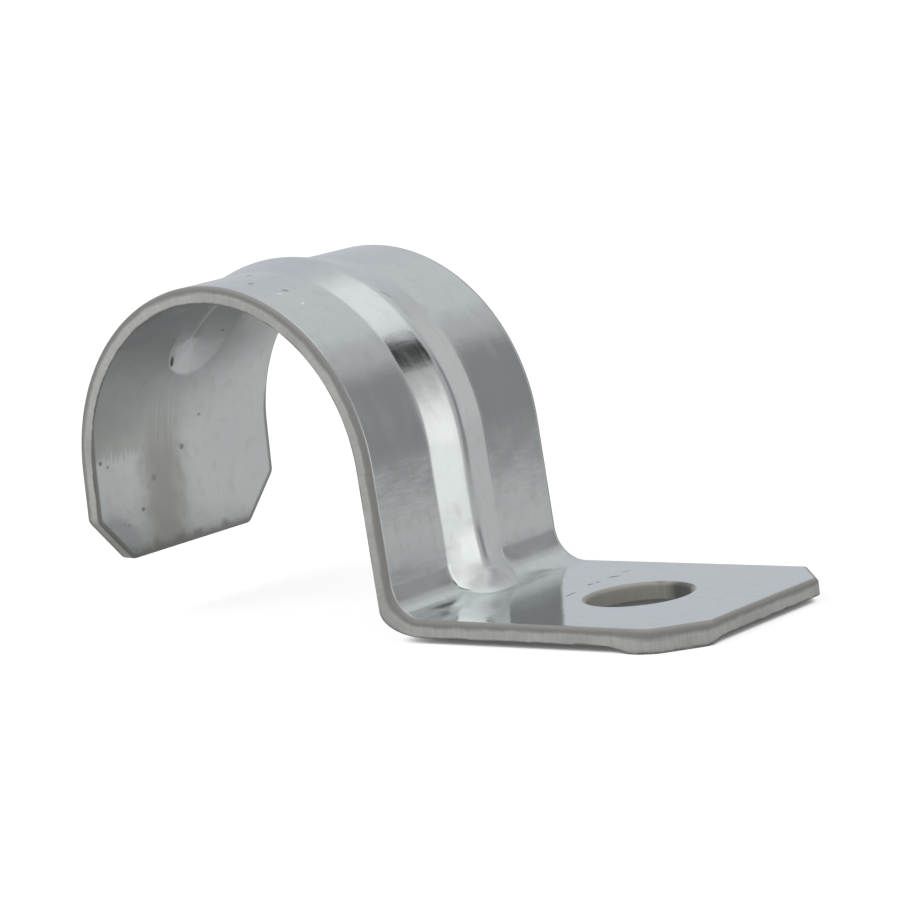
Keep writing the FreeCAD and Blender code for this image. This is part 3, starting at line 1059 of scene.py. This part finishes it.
def light_tent(cards):
    """Tent round the strap that only polished metal sees: pale cloth with cards and soft boxes."""
    build = bmesh.new()
    bmesh.ops.create_icosphere(build, subdivisions=TENT_SUBDIVISIONS, radius=TENT_RADIUS)
    bmesh.ops.reverse_faces(build, faces=build.faces)
    tent = placed("light_tent", finished_mesh("light_tent", build))
    shades, glow = glow_in_metal(tent, "tent_cloth")
    azimuth, elevation, _ = seen_from_strap(shades)
    group = card_group()
    cloth = TENT_CLOTH
    for card_azimuth, card_elevation, half_width, half_height, lean, softness, colour in cards:
        card = shades.node("ShaderNodeGroup", node_tree=group)
        settings = (azimuth, elevation, card_azimuth, card_elevation, half_width, half_height,
                    lean, softness)
        for socket, value in zip(card.inputs, settings):
            shades.feed(socket, value)
        cloth = shades.colour(card.outputs[0], cloth, colour)
    shades.feed(glow["Color"], cloth)


def flat_disc(name, radius, height):
    """Level disc round the strap, for the floor and the mat."""
    build = bmesh.new()
    bmesh.ops.create_circle(build, cap_ends=True, segments=DISC_SEGMENTS, radius=radius,
                            matrix=Matrix.Translation((0, 0, height)))
    disc = placed(name, finished_mesh(name, build))
    return disc


def away_from(shades, place, middle, half):
    """Level distance from a rectangle round a middle, nought inside it."""
    sides = []
    for socket, centre, reach in zip(place, middle, half):
        off = shades.number("ABSOLUTE", shades.number("SUBTRACT", socket, centre))
        sides.append(shades.number("MAXIMUM", shades.number("SUBTRACT", off, reach), 0.0))
    return shades.diagonal(*sides)


def sector(shades, azimuth, middle, width):
    """One round an azimuth, falling to nothing on both sides of it over a width."""
    around = shades.number("ABSOLUTE", shades.number("SUBTRACT", azimuth, middle))
    return shades.fade(around, *width)


def grey_mat():
    """Glowing grey mat under the strap that only polished metal sees, with a painted shadow of the strap
    round its footprint and a painted shade spot behind its free end.
    """
    mat = flat_disc("grey_mat", MAT_RADIUS, MAT_HEIGHT)
    shades, glow = glow_in_metal(mat, "mat_grey")
    place = shades.split(shades.node("ShaderNodeTexCoord").outputs["Object"])
    # Painted shadow of the strap, darkest over its footprint
    outside = away_from(shades, place, FOOTPRINT_MIDDLE, FOOTPRINT_HALF)
    level = shades.blend(shades.fade(outside, *MAT_SHADOW_REACH), MAT_LEVEL, MAT_SHADOW)
    # Painted shade spot behind the strap's free end
    shade_spot = away_from(shades, place, MAT_SHADE_SPOT_PLACE, (0, 0))
    level = shades.blend(shades.fade(shade_spot, *MAT_SHADE_SPOT_REACH), level, MAT_SHADE_SPOT)
    azimuth, _, away = seen_from_strap(shades)
    far = shades.number("MULTIPLY", shades.share(outside, *MAT_FAR_REACH),
                        sector(shades, azimuth, MAT_FAR_AZIMUTH, MAT_FAR_WIDTH))
    level = shades.blend(far, level, MAT_FAR)
    gleam = shades.number("MULTIPLY", shades.share(away, *MAT_GLEAM_AWAY),
                          sector(shades, azimuth, MAT_GLEAM_AZIMUTH, MAT_GLEAM_WIDTH))
    shades.feed(glow["Strength"], shades.blend(gleam, level, MAT_GLEAM))


def seen_white(shades):
    """One for the rays that show a white background, nought for the rays that light matt parts."""
    rays = shades.node("ShaderNodeLightPath").outputs
    seen = shades.number("MAXIMUM", rays["Is Camera Ray"], rays["Is Glossy Ray"])
    return shades.number("MAXIMUM", seen, rays["Is Transmission Ray"])


def studio_floor():
    """Plain pale floor under the strap, which keeps a faint soft shadow."""
    floor = flat_disc("floor", FLOOR_RADIUS, -LIP_DEPTH * MM)
    material = bpy.data.materials.new("floor_paper")
    material.use_nodes = True
    shades = Nodes(material.node_tree)
    paper = material.node_tree.nodes["Principled BSDF"]
    paper.inputs["Base Color"].default_value = FLOOR_PAPER
    paper.inputs["Roughness"].default_value = FLOOR_ROUGHNESS
    paper.inputs["Specular IOR Level"].default_value = 0.0
    paper.inputs["Emission Color"].default_value = WHITE
    open_air = shades.node("ShaderNodeAmbientOcclusion", samples=FLOOR_SAMPLES)
    open_air.inputs["Distance"].default_value = FLOOR_CONTACT
    glow = shades.number("MULTIPLY", seen_white(shades), FLOOR_GLOW)
    clear = shades.share(open_air.outputs["AO"], *FLOOR_SHADED)
    shades.feed(paper.inputs["Emission Strength"], shades.number("MULTIPLY", glow, clear))
    floor.data.materials.append(material)


def studio_world():
    """White surroundings, which light matt parts at a plain level."""
    world = bpy.data.worlds.new("studio")
    world.use_nodes = True
    shades = Nodes(world.node_tree)
    sky = world.node_tree.nodes["Background"]
    sky.inputs["Color"].default_value = WHITE
    shades.feed(sky.inputs["Strength"], shades.blend(seen_white(shades), WORLD_LIGHT, 1.0))
    bpy.context.scene.world = world


def soft_lamp():
    """Large soft lamp above the camera's left, which gives the floor its faint shadow."""
    data = bpy.data.lights.new("soft_lamp", "AREA")
    data.size = LAMP_SIZE
    data.energy = LAMP_POWER
    lamp = placed("soft_lamp", data)
    lamp.visible_glossy = False
    place = Vector(LAMP_PLACE)
    lamp.matrix_world = Matrix.Translation(place) @ place.to_track_quat("Z", "Y").to_matrix().to_4x4()


def photo_camera():
    """Camera at the photograph's viewing angle, a long lens from just above the floor."""
    azimuth = math.radians(CAMERA_AZIMUTH)
    elevation = math.radians(CAMERA_ELEVATION)
    roll = math.radians(CAMERA_ROLL)
    towards = Vector((math.sin(azimuth) * math.cos(elevation),
                      -math.cos(azimuth) * math.cos(elevation),
                      math.sin(elevation)))
    right = Vector((math.cos(azimuth), math.sin(azimuth), 0))
    up = towards.cross(right)
    camera_right = right * math.cos(roll) + up * math.sin(roll)
    camera_up = up * math.cos(roll) - right * math.sin(roll)
    data = bpy.data.cameras.new("camera")
    data.lens = CAMERA_LENS
    data.sensor_width = CAMERA_SENSOR
    data.clip_start = CAMERA_CLIP
    camera = placed("camera", data)
    turn = Matrix((camera_right, camera_up, towards)).transposed()
    place = Vector(CAMERA_AIM) + towards * CAMERA_DISTANCE
    camera.matrix_world = Matrix.Translation(place) @ turn.to_4x4()
    bpy.context.scene.camera = camera


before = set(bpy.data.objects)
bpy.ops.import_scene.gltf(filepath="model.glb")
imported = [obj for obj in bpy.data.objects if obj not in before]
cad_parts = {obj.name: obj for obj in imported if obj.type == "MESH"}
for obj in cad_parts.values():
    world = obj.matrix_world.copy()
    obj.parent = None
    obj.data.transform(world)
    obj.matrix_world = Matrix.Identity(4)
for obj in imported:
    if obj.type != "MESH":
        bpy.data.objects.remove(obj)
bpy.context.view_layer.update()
bpy.context.scene.view_settings.view_transform = "Standard"

strap = fold(flat_strip(), side_path(), zinc_plating())
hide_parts("strap")
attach(strap, "root")

light_tent(TENT_CARDS)
grey_mat()
studio_floor()
studio_world()
soft_lamp()
photo_camera()
